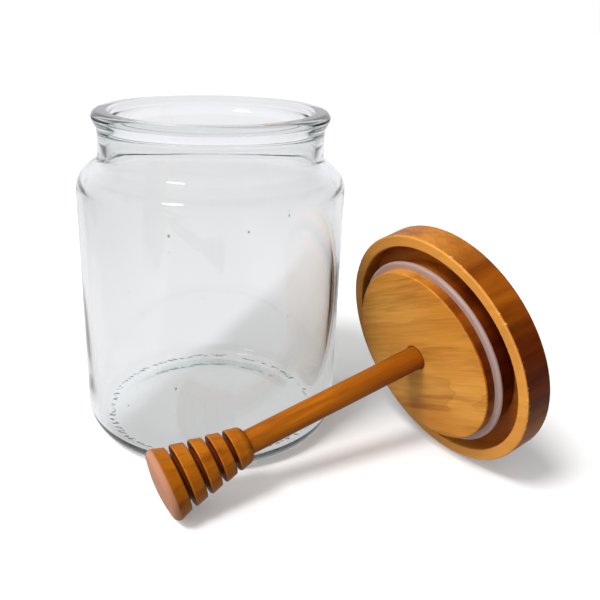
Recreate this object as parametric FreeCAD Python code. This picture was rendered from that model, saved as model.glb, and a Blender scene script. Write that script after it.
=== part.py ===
"""Honey jar with its turned wooden lid lying beside it, the dipper fixed in the lid.

Units are millimetres. Z is up. The jar stands on z = 0. The lid leans on the
edge of its skirt and on the edge of the dipper's end disc, both on z = 0.
Four solids: jar_glass, lid_wood, seal_ring, dipper.
"""
import math
import os

import FreeCAD
import Part

V = FreeCAD.Vector
os.makedirs("parts", exist_ok=True)

# ------------------------------------------------------------------ jar
BODY_R = 50.0            # outside radius of the straight body
JAR_H = 123.5            # foot to top of rim
WALL = 3.1               # side wall thickness
FLOOR_Z = 4.9            # inside floor's edge above the table
FLOOR_RISE = 0.7         # how much higher its middle is
FLOOR_FLAT_R = 34.0      # where most of that rise is reached
HEEL_R = 8.8             # outside radius of the rounded heel
INNER_CORNER_R = 3.0     # inside radius where wall meets floor
PUSH_UP = 1.2            # hollow under the base
PUSH_UP_R = 39.8         # outer edge of that hollow
PUSH_UP_RUN = 12.8       # width of its sloping edge
SHOULDER_Z = 95.6        # height where the straight wall ends
SHOULDER_R = 8.3         # outside radius of the shoulder
SHOULDER_DEG = 50.5      # turn of the shoulder before it runs straight
NECK_R = 41.6            # outside radius of the neck
NECK_FILLET = 4.0        # outside hollow between shoulder and neck
RIM_R = 43.4             # outside radius of the rim bead
RIM_BEAD = 2.35          # radius of the bead's round
RIM_UNDER = 1.6          # sloping run under the bead
RIM_IN_R = 37.2          # inside radius of the mouth
RIM_IN_ROUND = 1.0       # rounding of the mouth's edge
RIM_DEPTH = 12.0         # how far down the mouth widens to the neck

# ------------------------------------------------------------------ lid
LID_R = 44.5             # outside radius
LID_DEPTH = 10.8         # far face to skirt face
SKIRT_W = 4.35           # width of the skirt's face
RECESS = 6.8             # depth of the ring-shaped hollow inside the skirt
PLUG_R = 32.8            # radius of the plug
PLUG_OUT = 5.8           # plug face beyond the skirt face
FAR_EDGE_R = 1.0         # rounding of the far face's edge
SKIRT_EDGE_R = 0.6       # rounding of the skirt's outer edge
SKIRT_IN_EDGE_R = 0.5    # rounding of its inner edge
PLUG_EDGE_R = 0.6        # rounding of the plug's edge
LID_X = 80.0             # centre of the skirt face, from the jar's axis
LID_Y = -35.4
LID_TILT = 14.0          # how far the lid's axis points down, degrees
LID_TURN = 207.2         # its heading, degrees from +X

# ------------------------------------------------------------------ seal
RING_Z0 = 0.5            # ring's two faces, from the skirt face
RING_Z1 = 2.3
RING_R = 35.2            # ring's outer radius
RING_IN_R = 30.8         # bottom of the plug's groove

# --------------------------------------------------------------- dipper
ROD_R = 4.3
ROD_IN = 9.5             # how deep the rod is glued in
DIP_TILT = 16.2          # the rod's own slope and heading
DIP_TURN = 202.0
DIP_SIDE = 2.1           # hole's offset from the plug's middle, sideways
DIP_DROP = -1.5          # and along the lid's upward direction
END_R = 12.6             # radius at the free end
TAPER = 0.195            # radius lost per millimetre towards the rod
END_DOME = 1.1           # how far the end bulges
END_EDGE_R = 2.3         # rounding of the end's edge
HEAD_LEN = 33.0          # end to the rod's shoulder
DISC_ENDS = [(0.0, 6.7), (8.3, 13.0), (14.6, 19.1), (20.7, 25.2), (26.7, 33.0)]
DISC_EDGE = 0.6          # rounding of the discs' edges
GROOVE_DEPTH = 2.9
BACK_RUN = 3.2           # length of the last disc's rounded back


def pt(r, z):
    return V(r, 0, z)


def seg(a, b):
    return Part.LineSegment(pt(*a), pt(*b)).toShape()


def arc(c, r, a0, a1):
    """Arc about c from angle a0 to a1, degrees, r outwards and z up."""
    def q(a):
        t = math.radians(a)
        return pt(c[0] + r * math.cos(t), c[1] + r * math.sin(t))
    return Part.Arc(q(a0), q(0.5 * (a0 + a1)), q(a1)).toShape()


def on(c, r, a):
    t = math.radians(a)
    return (c[0] + r * math.cos(t), c[1] + r * math.sin(t))


class Path:
    """A closed half profile made of straight runs and arcs."""

    def __init__(self, start):
        self.at = start
        self.first = start
        self.edges = []

    def to(self, r, z):
        if math.hypot(r - self.at[0], z - self.at[1]) > 1e-6:
            self.edges.append(seg(self.at, (r, z)))
            self.at = (r, z)
        return self

    def round(self, c, r, a0, a1):
        self.to(*on(c, r, a0))
        self.edges.append(arc(c, r, a0, a1))
        self.at = on(c, r, a1)
        return self

    def solid(self):
        self.to(*self.first)
        face = Part.Face(Part.Wire(self.edges))
        s = face.revolve(V(0, 0, 0), V(0, 0, 1), 360)
        if s.ShapeType != "Solid":
            s = Part.Solid(s)
        return s


def jar():
    h = JAR_H
    a = SHOULDER_DEG
    ar = math.radians(a)
    c_sh = (BODY_R - SHOULDER_R, SHOULDER_Z)
    # straight shoulder run meets the neck's hollow, both tangent
    e = on(c_sh, SHOULDER_R, a)
    cx = NECK_R + NECK_FILLET
    sx = cx - NECK_FILLET * math.cos(ar)
    run = (e[0] - sx) / math.sin(ar)
    s = (sx, e[1] + run * math.cos(ar))
    c_nk = (cx, s[1] + NECK_FILLET * math.sin(ar))
    p = Path((0.0, PUSH_UP))
    p.to(PUSH_UP_R - PUSH_UP_RUN, PUSH_UP)
    p.to(PUSH_UP_R, 0.0)
    p.round((BODY_R - HEEL_R, HEEL_R), HEEL_R, -90, 0)
    p.round(c_sh, SHOULDER_R, 0, a)
    p.to(*s)
    p.round(c_nk, NECK_FILLET, 180 + a, 180)
    zb = h - RIM_BEAD
    p.to(NECK_R, zb - RIM_BEAD - RIM_UNDER)
    p.round((RIM_R - RIM_BEAD, zb), RIM_BEAD, -38, 90)
    p.round((RIM_IN_R + RIM_IN_ROUND, h - RIM_IN_ROUND), RIM_IN_ROUND, 90, 180)
    n_in = NECK_R - WALL
    p.to(RIM_IN_R, h - 2.4)
    p.to(n_in, h - RIM_DEPTH)
    f = NECK_FILLET + WALL
    p.round(c_nk, f, 180, 180 + a)
    p.round(c_sh, SHOULDER_R - WALL, a, 0)
    b_in = BODY_R - WALL
    p.round((b_in - INNER_CORNER_R, FLOOR_Z + INNER_CORNER_R), INNER_CORNER_R, 0, -90)
    p.to(FLOOR_FLAT_R, FLOOR_Z + 0.7 * FLOOR_RISE)
    p.to(0.0, FLOOR_Z + FLOOR_RISE)
    return p.solid()


def lid_local():
    """Lid about Z, skirt face at z = 0, plug upwards."""
    d = LID_DEPTH
    ri = LID_R - SKIRT_W
    p = Path((0.0, -d))
    p.round((LID_R - FAR_EDGE_R, -d + FAR_EDGE_R), FAR_EDGE_R, -90, 0)
    p.round((LID_R - SKIRT_EDGE_R, -SKIRT_EDGE_R), SKIRT_EDGE_R, 0, 90)
    p.round((ri + SKIRT_IN_EDGE_R, -SKIRT_IN_EDGE_R), SKIRT_IN_EDGE_R, 90, 180)
    p.to(ri, -RECESS)
    p.to(PLUG_R, -RECESS)
    p.to(PLUG_R, RING_Z0)
    p.to(RING_IN_R, RING_Z0)
    p.to(RING_IN_R, RING_Z1)
    p.to(PLUG_R, RING_Z1)
    p.round((PLUG_R - PLUG_EDGE_R, PLUG_OUT - PLUG_EDGE_R), PLUG_EDGE_R, 0, 90)
    p.to(0.0, PLUG_OUT)
    return p.solid()


def ring_local():
    h = (RING_Z1 - RING_Z0) / 2
    p = Path((RING_IN_R, RING_Z0))
    p.round((RING_R - h * 0.9, RING_Z0 + h * 0.9), h * 0.9, -90, 0)
    p.round((RING_R - h * 0.9, RING_Z1 - h * 0.9), h * 0.9, 0, 90)
    p.to(RING_IN_R, RING_Z1)
    return p.solid()


def head_r(back):
    """Radius of the tapered head at a distance back from its end."""
    return END_R - TAPER * back


def dipper_local(length):
    """Dipper about Z: z = 0 at the plug's face, end disc's edge at z = length."""
    p = Path((0.0, -ROD_IN))
    p.to(ROD_R, -ROD_IN)
    z_rod = length - HEAD_LEN
    p.to(ROD_R, z_rod)
    # rounded back of the last disc: an arc from the rod to its full radius
    r = head_r(HEAD_LEN - BACK_RUN)
    rise = r - ROD_R
    big = (rise ** 2 + BACK_RUN ** 2) / (2 * rise)
    c = (r - big, z_rod + BACK_RUN)
    p.round(c, big, math.degrees(math.atan2(z_rod - c[1], ROD_R - c[0])), 0)
    e = DISC_EDGE
    for i in range(len(DISC_ENDS) - 1, 0, -1):
        a, b = DISC_ENDS[i]
        edge = head_r(a)
        p.to(edge, length - a - e)
        p.round((edge - e, length - a - e), e, 0, 90)
        core = edge - GROOVE_DEPTH
        nxt = DISC_ENDS[i - 1][1]
        p.to(core, length - a)
        p.to(core, length - nxt)
        p.round((head_r(nxt) - e, length - nxt + e), e, -90, 0)
    # slightly domed end with a well rounded edge
    e = END_EDGE_R
    p.to(END_R, length - e)
    p.round((END_R - e, length - e), e, 0, 90)
    chord = END_R - e
    dome = (chord ** 2 + END_DOME ** 2) / (2 * END_DOME)
    c = (0.0, length + END_DOME - dome)
    p.round(c, dome, math.degrees(math.atan2(length - c[1], chord)), 90)
    return p.solid()


def place(shape, axis, origin):
    """Turn +Z to axis and move the local origin to origin."""
    rot = FreeCAD.Rotation(V(0, 0, 1), axis)
    s = shape.copy()
    s.Placement = FreeCAD.Placement(origin, rot)
    return s


def heading(turn, tilt):
    a, t = math.radians(turn), math.radians(tilt)
    return V(math.cos(t) * math.cos(a), math.cos(t) * math.sin(a), -math.sin(t))


def build():
    u = heading(LID_TURN, LID_TILT)
    t = math.radians(LID_TILT)
    e = SKIRT_EDGE_R
    lid_z = (LID_R - e) * math.cos(t) + e - e * math.sin(t)
    face = V(LID_X, LID_Y, lid_z)
    side = u.cross(V(0, 0, 1))
    side.normalize()
    up = side.cross(u)
    hole = face + u * PLUG_OUT + side * DIP_SIDE + up * DIP_DROP
    w = heading(DIP_TURN, DIP_TILT)
    t2 = math.radians(DIP_TILT)
    e = END_EDGE_R
    length = (hole.z - (END_R - e) * math.cos(t2) - e) / math.sin(t2) + e
    glass = jar()
    lid = place(lid_local(), u, face)
    ring = place(ring_local(), u, face)
    dip = place(dipper_local(length), w, hole)
    socket = Part.makeCylinder(ROD_R, ROD_IN + 6.0, hole - w * ROD_IN, w)
    lid = lid.cut(socket)
    if lid.ShapeType != "Solid":
        lid = lid.Solids[0]
    parts = {"jar_glass": glass, "lid_wood": lid, "seal_ring": ring, "dipper": dip}
    # stand the whole on its bounding box's bottom centre
    box = FreeCAD.BoundBox()
    for s in parts.values():
        box.add(s.optimalBoundingBox(False, False))
    shift = V(-(box.XMin + box.XMax) / 2, -(box.YMin + box.YMax) / 2, 0)
    print("jar axis at", round(shift.x, 3), round(shift.y, 3), "dipper length", round(length, 2))
    print("hole", hole + shift, "lid face", face + shift)
    print("box", round(box.XLength, 2), round(box.YLength, 2), round(box.ZLength, 2), "zmin", round(box.ZMin, 4))
    out = {}
    for name, s in parts.items():
        s = s.copy()
        s.translate(shift)
        out[name] = s
    return out


for name, s in build().items():
    if not s.isValid():
        raise RuntimeError(name + " isn't valid")
    if s.Volume < 0:
        s.reverse()
    print(name, "volume cm3", round(s.Volume / 1000.0, 2), "solids", len(s.Solids),
          "z", round(s.BoundBox.ZMin, 3), round(s.BoundBox.ZMax, 3))
    s.exportStep(os.path.join("parts", name + ".step"))
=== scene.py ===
# %% [markdown]
# # A honey jar with its wooden lid and dipper
# The jar is pressed soda-lime glass, the lid and the dipper are turned hardwood,
# and a silicone ring seals the plug. The measured model is loaded first and is
# never changed, so every piece made here can trust its sizes and its place.

# %% Load the measured model
import bpy
import bmesh
import math
import random
from mathutils import Matrix, Vector, noise


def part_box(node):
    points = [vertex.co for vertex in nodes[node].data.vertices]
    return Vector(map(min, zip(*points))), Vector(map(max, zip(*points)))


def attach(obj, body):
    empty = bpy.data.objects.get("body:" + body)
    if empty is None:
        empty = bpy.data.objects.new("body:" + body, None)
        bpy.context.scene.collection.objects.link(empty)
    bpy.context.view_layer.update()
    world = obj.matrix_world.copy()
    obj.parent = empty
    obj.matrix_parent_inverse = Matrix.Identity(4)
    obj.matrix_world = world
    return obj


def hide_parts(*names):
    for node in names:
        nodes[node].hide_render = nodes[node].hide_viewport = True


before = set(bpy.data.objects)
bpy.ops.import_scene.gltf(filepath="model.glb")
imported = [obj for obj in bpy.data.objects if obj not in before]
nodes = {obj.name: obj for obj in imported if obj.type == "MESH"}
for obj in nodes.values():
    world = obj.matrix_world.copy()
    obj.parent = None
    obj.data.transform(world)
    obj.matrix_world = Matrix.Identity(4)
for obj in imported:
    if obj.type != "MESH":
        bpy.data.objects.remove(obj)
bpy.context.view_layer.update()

# %% [markdown]
# ## Sizes that the finishes need
# Wood grain follows the lid's own axis and not the table, so the script works
# in each piece's own directions. The lid leans on its edge: its axis points out
# of the plug, down and past the jar. Lengths are written in millimetres and
# turned to metres by one short function.

# %% Sizes and directions
def mm(value):
    return value / 1000.0

def heading(turn, tilt):
    """The direction at 'turn' degrees round from +X and 'tilt' degrees down."""
    a, t = math.radians(turn), math.radians(tilt)
    return Vector((math.cos(t) * math.cos(a), math.cos(t) * math.sin(a), -math.sin(t)))

jar_lo, jar_hi = [Vector(v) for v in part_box("jar_glass")]
jar_axis = (jar_lo + jar_hi) / 2
jar_axis.z = 0.0
jar_tall = jar_hi.z * 1000
lid_face = jar_axis + Vector((mm(80.0), mm(-35.4), mm(43.05)))
lid_dir = heading(207.2, 14.0)
rod_dir = heading(202.0, 16.2)
lid_side = lid_dir.cross(Vector((0, 0, 1))).normalized()
lid_up = lid_side.cross(lid_dir)
plug_hole = lid_face + lid_dir * mm(5.8) + lid_side * mm(2.1) - lid_up * mm(1.5)
rod_length = mm(102.67)

def in_lid_plane(degrees):
    """A direction across the lid, counted up from its right-hand edge."""
    a = math.radians(degrees)
    return (-lid_side * math.cos(a) + lid_up * math.sin(a)).normalized()

print("jar", round((jar_hi.x - jar_lo.x) * 1000, 1), "mm across,", round(jar_tall, 1), "mm high")

# %% [markdown]
# ## Colour and node helpers
# Colours are picked as sRGB hex values, the way a paint chart gives them, and
# Cycles wants linear light, so one function converts them. A second function
# adds a shader node with its settings and links and hands back the output to
# link from, which keeps each material short enough to read in one go.

# %% Colour and node helpers
def hex_colour(code):
    channels = [int(code[i:i + 2], 16) / 255 for i in (1, 3, 5)]
    linear = [c / 12.92 if c <= 0.04045 else ((c + 0.055) / 1.055) ** 2.4 for c in channels]
    return (*linear, 1.0)

def add_node(tree, kind, inputs=None, out=0, stops=(), **settings):
    """Inputs are plain values or outputs of other nodes; stops are (place, hex) pairs."""
    made = tree.nodes.new(kind)
    for name, value in settings.items():
        setattr(made, name, value)
    for key, value in (inputs or {}).items():
        if isinstance(value, bpy.types.NodeSocket):
            tree.links.new(value, made.inputs[key])
        else:
            made.inputs[key].default_value = value
    for index, (place, code) in enumerate(stops):
        points = made.color_ramp.elements
        point = points[index] if index < len(points) else points.new(place)
        point.position, point.color = place, hex_colour(code)
    return made.outputs[out] if made.outputs else made

def new_material(name):
    material = bpy.data.materials.new(name)
    material.use_nodes = True
    material.node_tree.nodes.clear()
    return material, material.node_tree

print("middle grey #808080 is", round(hex_colour("#808080")[0], 3), "in linear light")

# %% [markdown]
# ## The jar's section
# A jar is round, so its whole shape is one line: half of a cut through the
# glass. Moulded glass has no sharp corners, so the line is made of two things
# only, arcs and straight runs. Arcs get more points, because that is where
# light bends most.

# %% Arcs and straight runs
def arc_points(centre, radius, start, end, steps):
    out = []
    for i in range(steps + 1):
        a = math.radians(start + (end - start) * i / steps)
        out.append((centre[0] + radius * math.cos(a), centre[1] + radius * math.sin(a)))
    return out

def run_points(a, b, steps):
    """Points between a and b, without the two ends."""
    return [(a[0] + (b[0] - a[0]) * i / steps, a[1] + (b[1] - a[1]) * i / steps)
            for i in range(1, steps)]

print("a quarter arc in 8 steps has", len(arc_points((0, 0), 1, 0, 90, 8)), "points")

# %% [markdown]
# ### From the base to the rim and back
# The line runs from the middle of the base, up the outside, over the rim and
# down the inside. The base is pushed up a little, so the jar stands on a ring
# and doesn't rock. Where the neck meets the shoulder, a hollow arc has to touch
# both, so its centre is worked out and not guessed.

# %% Half section of the jar
def jar_section():
    """The outside and the inside as (radius, height) in millimetres."""
    body, neck, rim, mouth, wall = 50.0, 41.6, 43.4, 37.2, 3.1
    shoulder_round, neck_round, bead_round, heel_round, corner_round = 8.3, 4.0, 2.35, 8.8, 3.0
    slope, floor, push_up = 50.5, 5.6, 1.2
    t = math.radians(slope)
    shoulder = (body - shoulder_round, 95.6)
    end = (shoulder[0] + shoulder_round * math.cos(t), shoulder[1] + shoulder_round * math.sin(t))
    run = (end[0] - neck - neck_round + neck_round * math.cos(t)) / math.sin(t)
    hollow = (neck + neck_round, end[1] + run * math.cos(t) + neck_round * math.sin(t))
    bead = (rim - bead_round, jar_tall - bead_round)

    out = [(0.0, push_up)] + run_points((0.0, push_up), (27.0, push_up), 6)
    out += [(27.0, push_up), (28.5, 1.16), (31.0, 0.98), (34.0, 0.62), (37.0, 0.22)]
    out += [(38.6, 0.05), (39.8, 0.0)]
    out += arc_points((body - heel_round, heel_round), heel_round, -90, 0, 20)
    out += run_points((body, heel_round), (body, shoulder[1]), 34)
    out += arc_points(shoulder, shoulder_round, 0, slope, 14)
    out += arc_points(hollow, neck_round, 180 + slope, 180, 8)
    out += run_points((neck, hollow[1]), (neck, bead[1] - 3.95), 5) + [(neck, bead[1] - 3.95)]
    out += arc_points(bead, bead_round, -38, 90, 16)

    back = [(38.6, jar_tall)] + arc_points((mouth + 1.0, jar_tall - 1.0), 1.0, 90, 180, 8)
    back += [(mouth, jar_tall - 2.4), (37.4, jar_tall - 4.0), (38.0, jar_tall - 7.5)]
    back += [(38.4, jar_tall - 10.0), (38.5, jar_tall - 12.0)]
    back += arc_points(hollow, neck_round + wall, 180, 180 + slope, 8)
    back += arc_points(shoulder, shoulder_round - wall, slope, 0, 12)
    inner = body - wall
    back += run_points((inner, shoulder[1]), (inner, 4.9 + corner_round), 34)
    back += arc_points((inner - corner_round, 4.9 + corner_round), corner_round, 0, -90, 12)
    back += [(43.0, 4.92), (41.0, 5.0), (38.0, 5.2), (34.0, 5.4)]
    back += run_points((34.0, 5.4), (0.0, floor), 9) + [(0.0, floor)]
    return out, back

outside, inside = jar_section()
print("the section has", len(outside), "points outside and", len(inside), "inside")

# %% [markdown]
# ## Spinning the section
# Blender's Screw modifier could spin the line too. A short loop is used here
# instead, because it can push each point in or out while it spins, and glass
# that is made in a mould needs just that.

# %% Lathe
def lathe(name, section, shift, around=192):
    """Spins (radius, height) points in millimetres about Z, moved in or out by shift."""
    verts, faces, rings = [], [], []
    for index, (radius, height) in enumerate(section):
        if radius < 1e-6:
            rings.append([len(verts)])
            verts.append((0.0, 0.0, mm(height)))
            continue
        rings.append(list(range(len(verts), len(verts) + around)))
        for k in range(around):
            a = 2 * math.pi * k / around
            r = mm(radius + shift(index, a, height))
            verts.append((r * math.cos(a), r * math.sin(a), mm(height)))
    for low, high in zip(rings, rings[1:]):
        for k in range(around):
            n = (k + 1) % around
            if len(low) == 1:
                faces.append((low[0], high[n], high[k]))
            elif len(high) == 1:
                faces.append((low[k], low[n], high[0]))
            else:
                faces.append((low[k], low[n], high[n], high[k]))
    mesh = bpy.data.meshes.new(name)
    mesh.from_pydata(verts, [], faces)
    mesh.polygons.foreach_set("use_smooth", [True] * len(faces))
    mesh.update()
    piece = bpy.data.objects.new(name, mesh)
    bpy.context.scene.collection.objects.link(piece)
    return piece

print("the lathe sets 192 points round the axis")

# %% [markdown]
# ## What the mould and the air leave behind
# A pressed and blown jar is smooth outside, where the mould was, and slightly
# wavy inside, where only air shaped it. That waviness is what makes the far
# wall swim when you look through the near one. It is made of smooth noise, a
# few tenths of a millimetre deep. A few small air bubbles stay in the wall.

# %% Waves and ripples
def rippled_shoulder(angle, height):
    """The shoulder cools first, so the outside freezes there with fine ripples."""
    ease = max(0.0, min(1.0, (height - 70) / 12, (112 - height) / 6))
    spot = Vector((math.cos(angle) * 6.0, math.sin(angle) * 6.0, height / 6.0))
    return ease * 0.07 * noise.noise(spot)

def uneven_wall(index, angle, height):
    if index < len(outside):
        return rippled_shoulder(angle, height)
    edge = 9
    if height < edge or height > jar_tall - edge:
        return 0.0
    broad = Vector((math.cos(angle) * 1.3, math.sin(angle) * 1.3, height / 55.0))
    fine = Vector((math.cos(angle) * 3.0, math.sin(angle) * 3.0, height / 22.0 + 7))
    ease = min(1.0, (height - edge) / 12, (jar_tall - edge - height) / 12)
    return ease * (0.30 * noise.noise(broad) + 0.09 * noise.noise(fine))

print("half-way up, the inside is out by", round(uneven_wall(len(outside), 0.5, 60), 3), "mm")

# %% [markdown]
# ## The jar itself
# The lathe makes one closed mesh, which takes the place of the measured jar.
# The bubbles are small closed balls whose faces look inwards, because there the
# glass ends and air begins. They sit in the middle of the wall.

# %% Jar and bubbles
def add_bubbles(mesh, count, seed):
    picker = random.Random(seed)
    data = bmesh.new()
    data.from_mesh(mesh)
    for _ in range(count):
        a, z = picker.uniform(-math.pi, math.pi), picker.uniform(18, 94)
        spot = Vector((mm(48.5) * math.cos(a), mm(48.5) * math.sin(a), mm(z)))
        size = Matrix.Diagonal((1.0, 1.0, picker.uniform(1.0, 1.7), 1.0))
        made = bmesh.ops.create_icosphere(
            data, subdivisions=2, radius=mm(picker.uniform(0.18, 0.38)),
            matrix=Matrix.Translation(spot) @ size)
        faces = {face for vert in made["verts"] for face in vert.link_faces}
        bmesh.ops.reverse_faces(data, faces=list(faces))
        for face in faces:
            face.smooth = True
    data.to_mesh(mesh)
    data.free()

jar = lathe("jar_pressed_glass", outside + inside, uneven_wall)
add_bubbles(jar.data, 16, seed=5)
jar.data.transform(Matrix.Translation(jar_axis))
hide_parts("jar_glass")
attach(jar, "root")
print("jar mesh:", len(jar.data.vertices), "points")

# %% [markdown]
# ## Zones with soft edges
# Several finishes stop somewhere: the ring under the base, a stain, an edge
# that is worn. Each such place is a zone: a few measures, each with an edge
# that fades from 0 to 1, multiplied together. One function makes them all.

# %% Zones
def zone(tree, *edges, curve="LINEAR"):
    """Each edge is (measure, value where it is 0, value where it is 1)."""
    inside_all = None
    for measure, none, full in edges:
        edge = add_node(tree, "ShaderNodeMapRange", {
            "Value": measure, "From Min": none, "From Max": full}, interpolation_type=curve)
        inside_all = edge if inside_all is None else add_node(
            tree, "ShaderNodeMath", {0: inside_all, 1: edge}, operation="MULTIPLY")
    return inside_all

def from_point(tree, point):
    place = add_node(tree, "ShaderNodeTexCoord", out="Object")
    return add_node(tree, "ShaderNodeVectorMath", {0: place, 1: point}, operation="SUBTRACT")

print("zones are ready")

# %% [markdown]
# ## Soda-lime glass
# Clear jar glass has an index of refraction near 1.52 and almost no colour,
# except along long paths through it, where a trace of iron shows grey green.
# That is why only the heel and the rim look dark. Absorption is a volume
# effect, so the tint sits in the volume and the surface stays clear. Pressed
# glass is polished by its own heat, so roughness is zero. The ring that it
# stands on is stippled with domes some 2 mm apart, so that it grips; they are
# a third of a millimetre high, so a bump is enough.

# %% Glass material
def knurled_base(tree):
    """Height of the stippled ring that the jar stands on."""
    rel = from_point(tree, jar_axis)
    height = add_node(tree, "ShaderNodeSeparateXYZ", {"Vector": rel}, out="Z")
    flat = add_node(tree, "ShaderNodeVectorMath", {0: rel, 1: (1.0, 1.0, 0.0)},
                    operation="MULTIPLY")
    radius = add_node(tree, "ShaderNodeVectorMath", {0: flat}, out="Value", operation="LENGTH")
    off = add_node(tree, "ShaderNodeMath", {0: radius, 1: mm(41.6)}, operation="SUBTRACT")
    gap = add_node(tree, "ShaderNodeMath", {0: off}, operation="ABSOLUTE")
    dots = add_node(tree, "ShaderNodeTexVoronoi", {"Vector": flat, "Scale": 480.0},
                    out="Distance")
    return zone(tree, (gap, mm(1.3), mm(0.8)), (height, mm(1.2), mm(0.7)), (dots, 0.55, 0.15))

def soda_lime_glass():
    material, tree = new_material("soda_lime_glass")
    bump = add_node(tree, "ShaderNodeBump", {
        "Strength": 1.0, "Distance": mm(0.35), "Height": knurled_base(tree)})
    skin = add_node(tree, "ShaderNodeBsdfPrincipled", {
        "Base Color": hex_colour("#FFFFFF"), "Roughness": 0.0, "IOR": 1.52,
        "Transmission Weight": 1.0, "Normal": bump})
    iron = add_node(tree, "ShaderNodeVolumeAbsorption", {
        "Color": hex_colour("#C2CFCB"), "Density": 36.0})
    add_node(tree, "ShaderNodeOutputMaterial", {"Surface": skin, "Volume": iron})
    return material

jar.data.materials.append(soda_lime_glass())
print("glass is on", jar.name)

# %% [markdown]
# ## Directions in the wood
# A board has a direction along its fibres, and everything follows it. The lid
# was cut with its fibres across the face, rising by 25 degrees. Where a face
# looks along the fibres, it cuts them, and their open ends show: end grain.

# %% Directions in the wood
# The fibres rise so that one end-grain side lies away from the lamp; there the dark end grain is
# also painted shade.
grain_dir = in_lid_plane(25)
# A direction across the lid towards its right-hand side, away from the lamp; faces that look this
# way get painted shade.
shade_side_dir = in_lid_plane(14)

def grain_space(tree, along, up, origin):
    """Coordinates in metres with X along the fibres."""
    across = up.cross(along).normalized()
    turn = Matrix((along, across, along.cross(across))).to_4x4()
    return add_node(tree, "ShaderNodeMapping", {
        "Vector": from_point(tree, origin), "Rotation": turn.to_euler()}, vector_type="POINT")

def faces_towards(tree, direction):
    """1 where the surface looks that way, 0 sideways, -1 where it looks back."""
    normal = add_node(tree, "ShaderNodeTexCoord", out="Normal")
    return add_node(tree, "ShaderNodeVectorMath", {0: normal, 1: direction},
                    out="Value", operation="DOT_PRODUCT")

def about_axis(tree, origin, axis):
    """Distance along a turned piece's axis, and distance from it, in metres."""
    rel = from_point(tree, origin)
    along = add_node(tree, "ShaderNodeVectorMath", {0: rel, 1: axis},
                     out="Value", operation="DOT_PRODUCT")
    on_axis = add_node(tree, "ShaderNodeVectorMath", {0: axis, "Scale": along}, operation="SCALE")
    away = add_node(tree, "ShaderNodeVectorMath", {0: rel, 1: on_axis}, operation="SUBTRACT")
    return along, add_node(tree, "ShaderNodeVectorMath", {0: away},
                           out="Value", operation="LENGTH")

print("fibres of the lid run along", [round(v, 2) for v in grain_dir])

# %% [markdown]
# ## Marks of turning and use, and painted shade
# End grain drinks more oil, so the lid's sides are darker and streaked at both
# ends of the board; one end lies on the side away from the lamp, where this is
# painted shade as well. That side also gets a painted shade of its own. The
# hollow behind the seal gets painted shade, a darker brown. A dark line of glue
# shows round the rod. The face of the skirt is sanded pale and its outer edge
# is worn. On the dipper, the grooves get painted shade and the sawn end is pale.
# Each mark is a coat: masks, a strength, a colour and a way to blend.

# %% Laying coats
def lay_coats(tree, colour, coats):
    for masks, strength, stain, blend in coats:
        for mask in masks:
            strength = add_node(tree, "ShaderNodeMath", {0: mask, 1: strength},
                                operation="MULTIPLY")
        colour = add_node(tree, "ShaderNodeMixRGB", {
            "Fac": strength, "Color1": colour, "Color2": stain}, blend_type=blend)
    return colour

def oiled_ends_and_shade(tree, space):
    """Colour of end grain, streaked from the face to the back. On the lid's side away from the
    lamp it is also painted shade.
    """
    stretch = add_node(tree, "ShaderNodeMapping", {"Vector": space, "Scale": (90, 210, 20)})
    streak = add_node(tree, "ShaderNodeTexNoise", {
        "Vector": stretch, "Scale": 1.0, "Detail": 4.0, "Roughness": 0.6})
    return add_node(tree, "ShaderNodeValToRGB", {"Fac": streak},
                    stops=[(0.34, "#6E3003"), (0.50, "#824004"), (0.68, "#98500A")])

print("coats are laid in the order of their list")

# %% [markdown]
# ### The lid's coats
# All places are told by two measures: how far along the lid's axis, counted
# out of the plug from the face of the skirt, and how far from that axis. So a
# coat stops exactly where the lathe tool did.

# %% Coats on the lid
def lid_coats(tree, space):
    along, away = about_axis(tree, lid_face, lid_dir)
    from_rod = about_axis(tree, plug_hole, rod_dir)[1]
    hollow = zone(tree, (away, mm(40.3), mm(39.9)), (away, mm(33.0), mm(33.3)))
    open_side = zone(tree, (hollow, 1.0, 0.0))
    lined = add_node(tree, "ShaderNodeMath", {0: faces_towards(tree, grain_dir)},
                     operation="ABSOLUTE")
    # Darker end grain: the wood's own, and on the side away from the lamp also painted shade.
    end_grain_and_shade = zone(tree, (lined, 0.30, 0.85), curve="SMOOTHSTEP")
    # Painted shade: the lid's side that looks away from the lamp is multiplied darker.
    painted_shade_side = zone(tree, (faces_towards(tree, shade_side_dir), 0.88, 0.99), curve="SMOOTHSTEP")
    # Painted shade: the hollow behind the seal is multiplied darker.
    painted_recess_shade = zone(tree, (away, mm(40.3), mm(39.9)), (along, mm(-0.5), mm(-1.5)),
                   (along, mm(-8.5), mm(-8.0)))
    glue = zone(tree, (from_rod, mm(5.0), mm(4.7)), (along, mm(4.0), mm(5.0)))
    skirt = zone(tree, (away, mm(40.1), mm(40.5)), (along, mm(-0.7), mm(-0.2)))
    flecks = add_node(tree, "ShaderNodeTexNoise", {"Vector": space, "Scale": 900.0, "Detail": 2.0})
    worn = zone(tree, (flecks, 0.60, 0.68), (away, mm(43.7), mm(44.1)),
                (along, mm(-1.4), mm(-0.5)))
    return [([end_grain_and_shade, open_side], 1.0, oiled_ends_and_shade(tree, space), "MIX"),
            ([painted_shade_side, open_side], 1.0, hex_colour("#AD8B59"), "MULTIPLY"),
            ([painted_recess_shade], 1.0, hex_colour("#D4B190"), "MULTIPLY"),
            ([glue], 0.85, hex_colour("#4A1E06"), "MIX"),
            ([skirt], 0.60, hex_colour("#E29C48"), "MIX"),
            ([worn], 0.70, hex_colour("#E8BC7C"), "MIX")]

print("the lid gets six coats")
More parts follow.
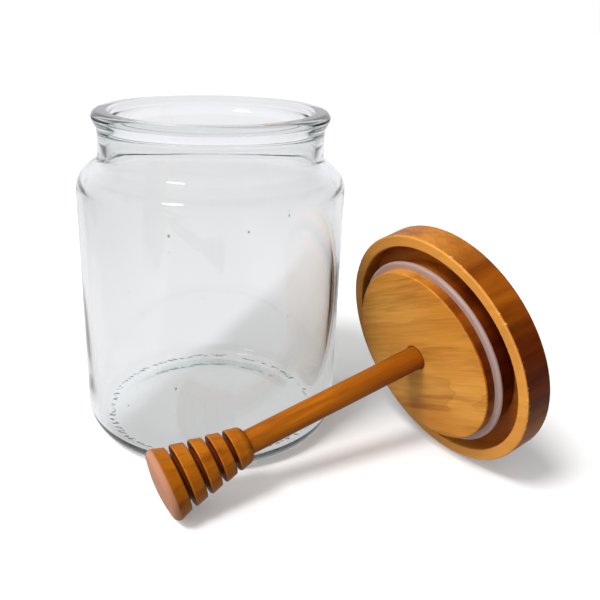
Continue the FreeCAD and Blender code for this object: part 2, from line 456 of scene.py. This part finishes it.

# %% [markdown]
# ### The dipper's coats
# The head is a cone with five discs. Adding the taper back to the distance
# from the axis makes the cone a cylinder, so one limit finds all four grooves.
# The grooves get painted shade in dark brown. The end is sawn across the fibres
# and is pale.

# %% Coats on the dipper
def dipper_coats(tree, space):
    along, away = about_axis(tree, plug_hole, rod_dir)
    back = add_node(tree, "ShaderNodeMath", {0: rod_length, 1: along}, operation="SUBTRACT")
    taper = add_node(tree, "ShaderNodeMath", {0: back, 1: 0.195}, operation="MULTIPLY")
    reach = add_node(tree, "ShaderNodeMath", {0: away, 1: taper}, operation="ADD")
    # Painted shade: the four grooves are coloured dark brown.
    groove_shade = zone(tree, (reach, mm(12.5), mm(12.2)), (back, mm(5.0), mm(6.0)),
                  (back, mm(27.2), mm(26.9)))
    sawn = zone(tree, (back, mm(2.6), mm(1.8)))
    return [([groove_shade], 1.0, hex_colour("#66290A"), "MIX"),
            ([sawn], 0.90, hex_colour("#AE7C62"), "MIX")]

print("the dipper gets two coats")

# %% [markdown]
# ## Turned hardwood
# Lid and dipper are turned from an oiled, honey-brown hardwood. Growth rings
# are tubes about the trunk's middle, so the pattern is made the same way:
# distance from a line that lies 60 mm below the piece, bent a little by noise,
# then read as bands 4 to 6.5 mm wide. The same solid pattern crosses the face,
# the skirt and the plug, as it does when a lathe cuts through real wood. Real
# fibres are too fine to show, so they are drawn about half a millimetre wide.

# %% Figure of the wood
def wood_noise(tree, space, scale, detail, roughness=0.5, shift=(0, 0, 0)):
    """Noise stretched along the fibres; scale is in features per metre."""
    stretched = add_node(tree, "ShaderNodeMapping", {
        "Vector": space, "Scale": scale, "Location": shift})
    return add_node(tree, "ShaderNodeTexNoise", {
        "Vector": stretched, "Scale": 1.0, "Detail": detail, "Roughness": roughness})

def growth_rings(tree, space, bend_by, ring_gap):
    """0 in early wood, rising to 1 at the dark line that ends each year."""
    bend = add_node(tree, "ShaderNodeVectorMath", {
        0: bend_by, 1: (0.0, mm(10), mm(12))}, operation="MULTIPLY")
    bent = add_node(tree, "ShaderNodeVectorMath", {0: space, 1: bend}, operation="ADD")
    pith = add_node(tree, "ShaderNodeVectorMath", {
        0: bent, 1: (0.0, mm(12), mm(60))}, operation="ADD")
    flat = add_node(tree, "ShaderNodeVectorMath", {0: pith, 1: (0.0, 1.0, 1.0)},
                    operation="MULTIPLY")
    reach = add_node(tree, "ShaderNodeVectorMath", {0: flat}, out="Value", operation="LENGTH")
    years = add_node(tree, "ShaderNodeMath", {0: reach, 1: 1.0 / mm(ring_gap)},
                     operation="MULTIPLY")
    season = add_node(tree, "ShaderNodeMath", {0: years}, operation="FRACT")
    return add_node(tree, "ShaderNodeMath", {0: season, 1: 3.0}, operation="POWER")

print("each year's ring darkens slowly and ends at once")

# %% [markdown]
# ### The finished wood
# The board's own colour comes from slow noise between three tones. Rings,
# streaks and fibres are laid over it as coats, then the marks of use. Oil
# leaves a satin skin, a little rougher where the wood is dark and open.

# %% Oiled hardwood
def oiled_hardwood(name, along, up, origin, tones, coats, ring_gap, seed):
    """Tones are the pale, middle and dark colour of the board."""
    material, tree = new_material(name)
    space = grain_space(tree, along, up, origin)
    pale, middle, dark = tones
    cloud = wood_noise(tree, space, (9, 34, 34), 3.0, 0.55, (seed, seed * 2, 0))
    fibre = wood_noise(tree, space, (45, 1500, 1500), 2.0)
    streak = wood_noise(tree, space, (22, 260, 260), 4.0, 0.6)
    base = add_node(tree, "ShaderNodeValToRGB", {"Fac": cloud},
                    stops=[(0.30, dark), (0.47, middle), (0.68, pale)])
    rings = growth_rings(tree, space, cloud.node.outputs["Color"], ring_gap)
    streaks = add_node(tree, "ShaderNodeValToRGB", {"Fac": streak},
                       stops=[(0.34, "#CEBFAD"), (0.50, "#FFFFFF")])
    fibres = add_node(tree, "ShaderNodeValToRGB", {"Fac": fibre},
                      stops=[(0.30, "#E7E2DA"), (0.62, "#FFFFFF")])
    bare = lay_coats(tree, base, [([rings], 0.35, hex_colour(dark), "MIX"),
                                  ([], 0.75, streaks, "MULTIPLY"),
                                  ([], 0.60, fibres, "MULTIPLY")])
    rough = add_node(tree, "ShaderNodeMapRange", {
        "Value": streak, "To Min": 0.56, "To Max": 0.40})
    bump = add_node(tree, "ShaderNodeBump", {
        "Strength": 0.12, "Distance": mm(0.15), "Height": fibre})
    skin = add_node(tree, "ShaderNodeBsdfPrincipled", {
        "Base Color": lay_coats(tree, bare, coats(tree, space)), "Roughness": rough,
        "IOR": 1.47, "Normal": bump, "Specular IOR Level": 0.16})
    add_node(tree, "ShaderNodeOutputMaterial", {"Surface": skin})
    return material

print("one recipe serves both woods")

# %% [markdown]
# ## Dressing the lid and the dipper
# Both pieces keep their measured mesh and only get a new material in each
# slot. The dipper's fibres run along its rod, because a turner cuts a long
# thin piece that way for strength.

# %% Dress the wood
lid_wood = oiled_hardwood("oiled_hardwood_lid", grain_dir, lid_dir, lid_face,
                          ("#E2A24A", "#D08832", "#AC661E"), lid_coats, 6.5, 1.7)
dipper_wood = oiled_hardwood("oiled_hardwood_dipper", rod_dir, lid_up, plug_hole,
                             ("#BB7018", "#AC610C", "#8B4808"), dipper_coats, 4.0, 4.1)

def dress(node_name, material):
    for slot in nodes[node_name].material_slots:
        slot.material = material

dress("lid_wood", lid_wood)
dress("dipper", dipper_wood)
print("wood is on the lid and the dipper")

# %% [markdown]
# ## Silicone seal
# Food-grade silicone is milky: about half of the light goes through it and
# picks up the brown of the wood behind, the rest comes back from a satin skin.
# Against the wood it looks pinkish grey. It is moulded, so it has no grain.

# %% Silicone material
def moulded_silicone():
    material, tree = new_material("moulded_silicone")
    skin = add_node(tree, "ShaderNodeBsdfPrincipled", {
        "Base Color": hex_colour("#D2B4AC"), "Roughness": 0.38, "IOR": 1.41,
        "Transmission Weight": 0.45, "Specular IOR Level": 0.3})
    add_node(tree, "ShaderNodeOutputMaterial", {"Surface": skin})
    return material

dress("seal_ring", moulded_silicone())
print("silicone is on the seal")

# %% [markdown]
# ## Camera
# The camera stands a little above the rim and looks down by some 22 degrees, at
# arm's length. Its frame is shifted slightly sideways, because the jar is left
# of the middle and stands upright in the view.

# %% Camera
def stand_camera(place, yaw, pitch, roll, lens, shift):
    """Angles in degrees: right of +Y, down from level, and about the view."""
    y, p, r = [math.radians(v) for v in (yaw, pitch, roll)]
    forward = Vector((math.sin(y) * math.cos(p), math.cos(y) * math.cos(p), -math.sin(p)))
    right = Vector((math.cos(y), -math.sin(y), 0.0))
    up = right.cross(forward)
    turned_right = right * math.cos(r) + up * math.sin(r)
    turned_up = up * math.cos(r) - right * math.sin(r)
    data = bpy.data.cameras.new("view_camera")
    data.sensor_width, data.lens, data.clip_start = 36.0, lens, 0.01
    data.shift_x, data.shift_y = shift
    camera = bpy.data.objects.new("view_camera", data)
    bpy.context.scene.collection.objects.link(camera)
    turn = Matrix((turned_right, turned_up, -forward)).transposed().to_4x4()
    camera.matrix_world = Matrix.Translation(place) @ turn
    bpy.context.scene.camera = camera
    return camera

camera = stand_camera(jar_axis + Vector((mm(0.05), mm(-281.6), mm(161.6))),
                      3.19, 21.59, 1.15, 45.462, (0.0818333, -0.0061667))
print("camera lens is", round(camera.data.lens, 1), "mm")

# %% [markdown]
# ## Floor and backdrop
# The part stands on white board with no visible horizon: seen directly, board
# and backdrop are both pure white and only the shadows show. Glass needs the
# opposite, because clear glass on pure white can't be seen. So rays that come
# through the glass or off it meet a light grey backdrop that gets darker
# towards the viewer's side. The dark lines at the rim and the heel are that
# darker side, bent round by the thick glass. Light that bounces off the board
# onto the wood is kept dim, so that the wood has a dark side.

# %% What each kind of ray sees
def seen_directly(tree):
    return add_node(tree, "ShaderNodeLightPath", out="Is Camera Ray")

def seen_by_glass(tree):
    mirrored = add_node(tree, "ShaderNodeLightPath", out="Is Glossy Ray")
    through = mirrored.node.outputs["Is Transmission Ray"]
    return add_node(tree, "ShaderNodeMath", {0: mirrored, 1: through}, operation="MAXIMUM")

print("three kinds of ray: direct, by glass, and the rest")

# %% [markdown]
# ### The board as the glass sees it
# A light grey strip widens behind the jar and gets darker at its sides and
# towards the viewer. A soft shade with a slanted edge lies on its right, as
# from something that stands outside the view. Glass with nothing to bend looks
# flat, and this gives the wall its depth.

# %% Board for glass
shade_corner = Vector((mm(-6), mm(60), 0))

def board_for_glass(tree):
    place = add_node(tree, "ShaderNodeTexCoord", out="Object")
    sideways = add_node(tree, "ShaderNodeSeparateXYZ", {"Vector": place}, out="X")
    depth = sideways.node.outputs["Y"]
    slant = Vector((0.885, -0.465, 0.0))
    edge = add_node(tree, "ShaderNodeVectorMath", {0: place, 1: slant},
                    out="Value", operation="DOT_PRODUCT")
    start = (jar_axis + shade_corner).dot(slant)
    shade = zone(tree, (edge, start - mm(4), start + mm(14)), (depth, 0.30, 0.05),
                 curve="SMOOTHSTEP")
    tone = add_node(tree, "ShaderNodeValToRGB", {"Fac": shade},
                    stops=[(0.0, "#FCFCFF"), (1.0, "#D7D6D6")])
    near = add_node(tree, "ShaderNodeMapRange", {
        "Value": depth, "From Min": -0.45, "From Max": -0.10,
        "To Min": 0.1545, "To Max": 0.9785}, interpolation_type="SMOOTHSTEP")
    off_middle = add_node(tree, "ShaderNodeMath", {0: sideways}, operation="ABSOLUTE")
    narrowed = add_node(tree, "ShaderNodeMath", {0: depth, 1: -0.30}, operation="MULTIPLY")
    beyond = add_node(tree, "ShaderNodeMath", {0: off_middle, 1: narrowed}, operation="ADD")
    strip = add_node(tree, "ShaderNodeMapRange", {
        "Value": beyond, "From Min": 0.42, "From Max": 0.16,
        "To Min": 0.25, "To Max": 1.0}, interpolation_type="SMOOTHSTEP")
    light = add_node(tree, "ShaderNodeMath", {0: near, 1: strip}, operation="MULTIPLY")
    return add_node(tree, "ShaderNodeEmission", {"Color": tone, "Strength": light})

print("the shade's edge passes", round(shade_corner.y * 1000), "mm behind the jar's axis")

# %% [markdown]
# ## The board
# Matt white board is a plain diffuse surface. A little light of its own lifts
# the open board to pure white while the shadows stay grey. It lies a fifth of a
# millimetre under the part, so that the two never share a face.

# %% Floor
def white_board():
    material, tree = new_material("white_board")
    paper = add_node(tree, "ShaderNodeBsdfDiffuse", {"Color": hex_colour("#E7E6E6")})
    lift = add_node(tree, "ShaderNodeEmission", {
        "Color": hex_colour("#FFFFFF"), "Strength": 0.21})
    plain = add_node(tree, "ShaderNodeAddShader", {0: paper, 1: lift})
    dim_paper = add_node(tree, "ShaderNodeBsdfDiffuse", {"Color": hex_colour("#8B8986")})
    unseen = add_node(tree, "ShaderNodeMixShader", {
        "Fac": seen_by_glass(tree), 1: dim_paper, 2: board_for_glass(tree)})
    both = add_node(tree, "ShaderNodeMixShader", {
        "Fac": seen_directly(tree), 1: unseen, 2: plain})
    add_node(tree, "ShaderNodeOutputMaterial", {"Surface": both})
    return material

floor_mesh = bpy.data.meshes.new("floor")
floor_mesh.from_pydata([(-4, -4, 0), (4, -4, 0), (4, 4, 0), (-4, 4, 0)], [], [(0, 1, 2, 3)])
floor = bpy.data.objects.new("floor", floor_mesh)
floor.location.z = mm(-0.2)
bpy.context.scene.collection.objects.link(floor)
floor_mesh.materials.append(white_board())
print("floor is ready")

# %% [markdown]
# ## World light
# Three looks share one sky. As a lamp it is bright on the left and dim on the
# right, like a room with one window, so turned wood gets a light and a dark
# side. For the eye it is white. For glass it is the grey backdrop.

# %% World
world = bpy.data.worlds.new("studio")
bpy.context.scene.world = world
world.use_nodes = True
sky = world.node_tree
sky.nodes.clear()

def sky_look(direction, strength, stops):
    """A sky that is shaded from behind (0) to straight ahead (1) of a direction."""
    compass = add_node(sky, "ShaderNodeTexCoord", out="Generated")
    ahead = add_node(sky, "ShaderNodeVectorMath", {
        0: compass, 1: Vector(direction).normalized()}, out="Value", operation="DOT_PRODUCT")
    part = zone(sky, (ahead, -1.0, 1.0))
    shade = add_node(sky, "ShaderNodeValToRGB", {"Fac": part}, stops=stops)
    return add_node(sky, "ShaderNodeBackground", {"Color": shade, "Strength": strength})

lamp_look = sky_look((-0.93, -0.35, 0.0), 2.3, [
    (0.0, "#303030"), (0.45, "#505050"), (0.65, "#8E8E8E"), (0.80, "#E7E7E6"), (1.0, "#FFFFFD")])
glass_look = sky_look((0.05, -1.0, 0.15), 1.04, [
    (0.0, "#FBFBFF"), (0.12, "#F8F8FC"), (0.27, "#9F9FA1"), (0.50, "#575757"), (1.0, "#262626")])
eye_look = add_node(sky, "ShaderNodeBackground", {
    "Color": hex_colour("#FFFFFF"), "Strength": 1.0})
unseen_sky = add_node(sky, "ShaderNodeMixShader", {
    "Fac": seen_by_glass(sky), 1: lamp_look, 2: glass_look})
whole_sky = add_node(sky, "ShaderNodeMixShader", {
    "Fac": seen_directly(sky), 1: unseen_sky, 2: eye_look})
add_node(sky, "ShaderNodeOutputWorld", {"Surface": whole_sky})
print("world has", len(sky.nodes), "nodes")

# %% [markdown]
# ## Key lamp
# One wide soft lamp stands high above, on the left and a little in front. It
# throws the shadows back and to the right, and keeps them short and soft. A
# sun lamp does this evenly, with no fall-off over the board. Glass doesn't
# mirror it, because its image would be a hard white bar on the shoulder.

# %% Key lamp
key_data = bpy.data.lights.new("key_lamp", "SUN")
key_data.energy = 2.3
key_data.angle = math.radians(16)
key = bpy.data.objects.new("key_lamp", key_data)
key.rotation_euler = Vector((0.50, 0.42, -1.0)).to_track_quat("-Z", "Y").to_euler()
bpy.context.scene.collection.objects.link(key)
key.visible_glossy = False
bpy.context.scene.view_settings.view_transform = "Standard"
print("key lamp is", key_data.energy, "W/m2")

# %% [markdown]
# ## Window
# A room with a window leaves small broken glints on glass. These panes on the
# left are seen only as a reflection and light nothing else.

# %% Window card
def window_light():
    material, tree = new_material("window_light")
    glow = add_node(tree, "ShaderNodeEmission", {
        "Color": hex_colour("#FFFFFF"), "Strength": 2.6})
    clear = add_node(tree, "ShaderNodeBsdfTransparent")
    mirrored = add_node(tree, "ShaderNodeLightPath", out="Is Glossy Ray")
    both = add_node(tree, "ShaderNodeMixShader", {"Fac": mirrored, 1: clear, 2: glow})
    add_node(tree, "ShaderNodeOutputMaterial", {"Surface": both})
    return material

def window_card(panes, distance=1.5):
    """Panes are (turn, height, width, height of the pane) in degrees, seen from the jar."""
    verts, faces = [], []
    for turn, rise, width, height in panes:
        base = len(verts)
        for da, de in ((-1, -1), (1, -1), (1, 1), (-1, 1)):
            verts.append(heading(turn + da * width / 2, -(rise + de * height / 2)) * distance)
        faces.append((base, base + 1, base + 2, base + 3))
    mesh = bpy.data.meshes.new("window_card")
    mesh.from_pydata(verts, [], faces)
    mesh.materials.append(window_light())
    card = bpy.data.objects.new("window_card", mesh)
    bpy.context.scene.collection.objects.link(card)
    return card

window = window_card([
    (180, 22.3, 1.5, 0.8), (177.4, 21.5, 1.2, 0.6), (174.4, 22.0, 1.8, 0.9),
    (178.2, 38.7, 1.0, 0.6), (176.0, 37.1, 1.3, 0.7), (173.2, 38.0, 1.7, 0.9),
    (170.2, 39.0, 1.1, 0.5), (171.2, 36.8, 1.1, 0.5), (180, 30, 1.6, 3.0), (172, 31, 2.0, 1.6)])
print("window has", len(window.data.polygons), "panes")
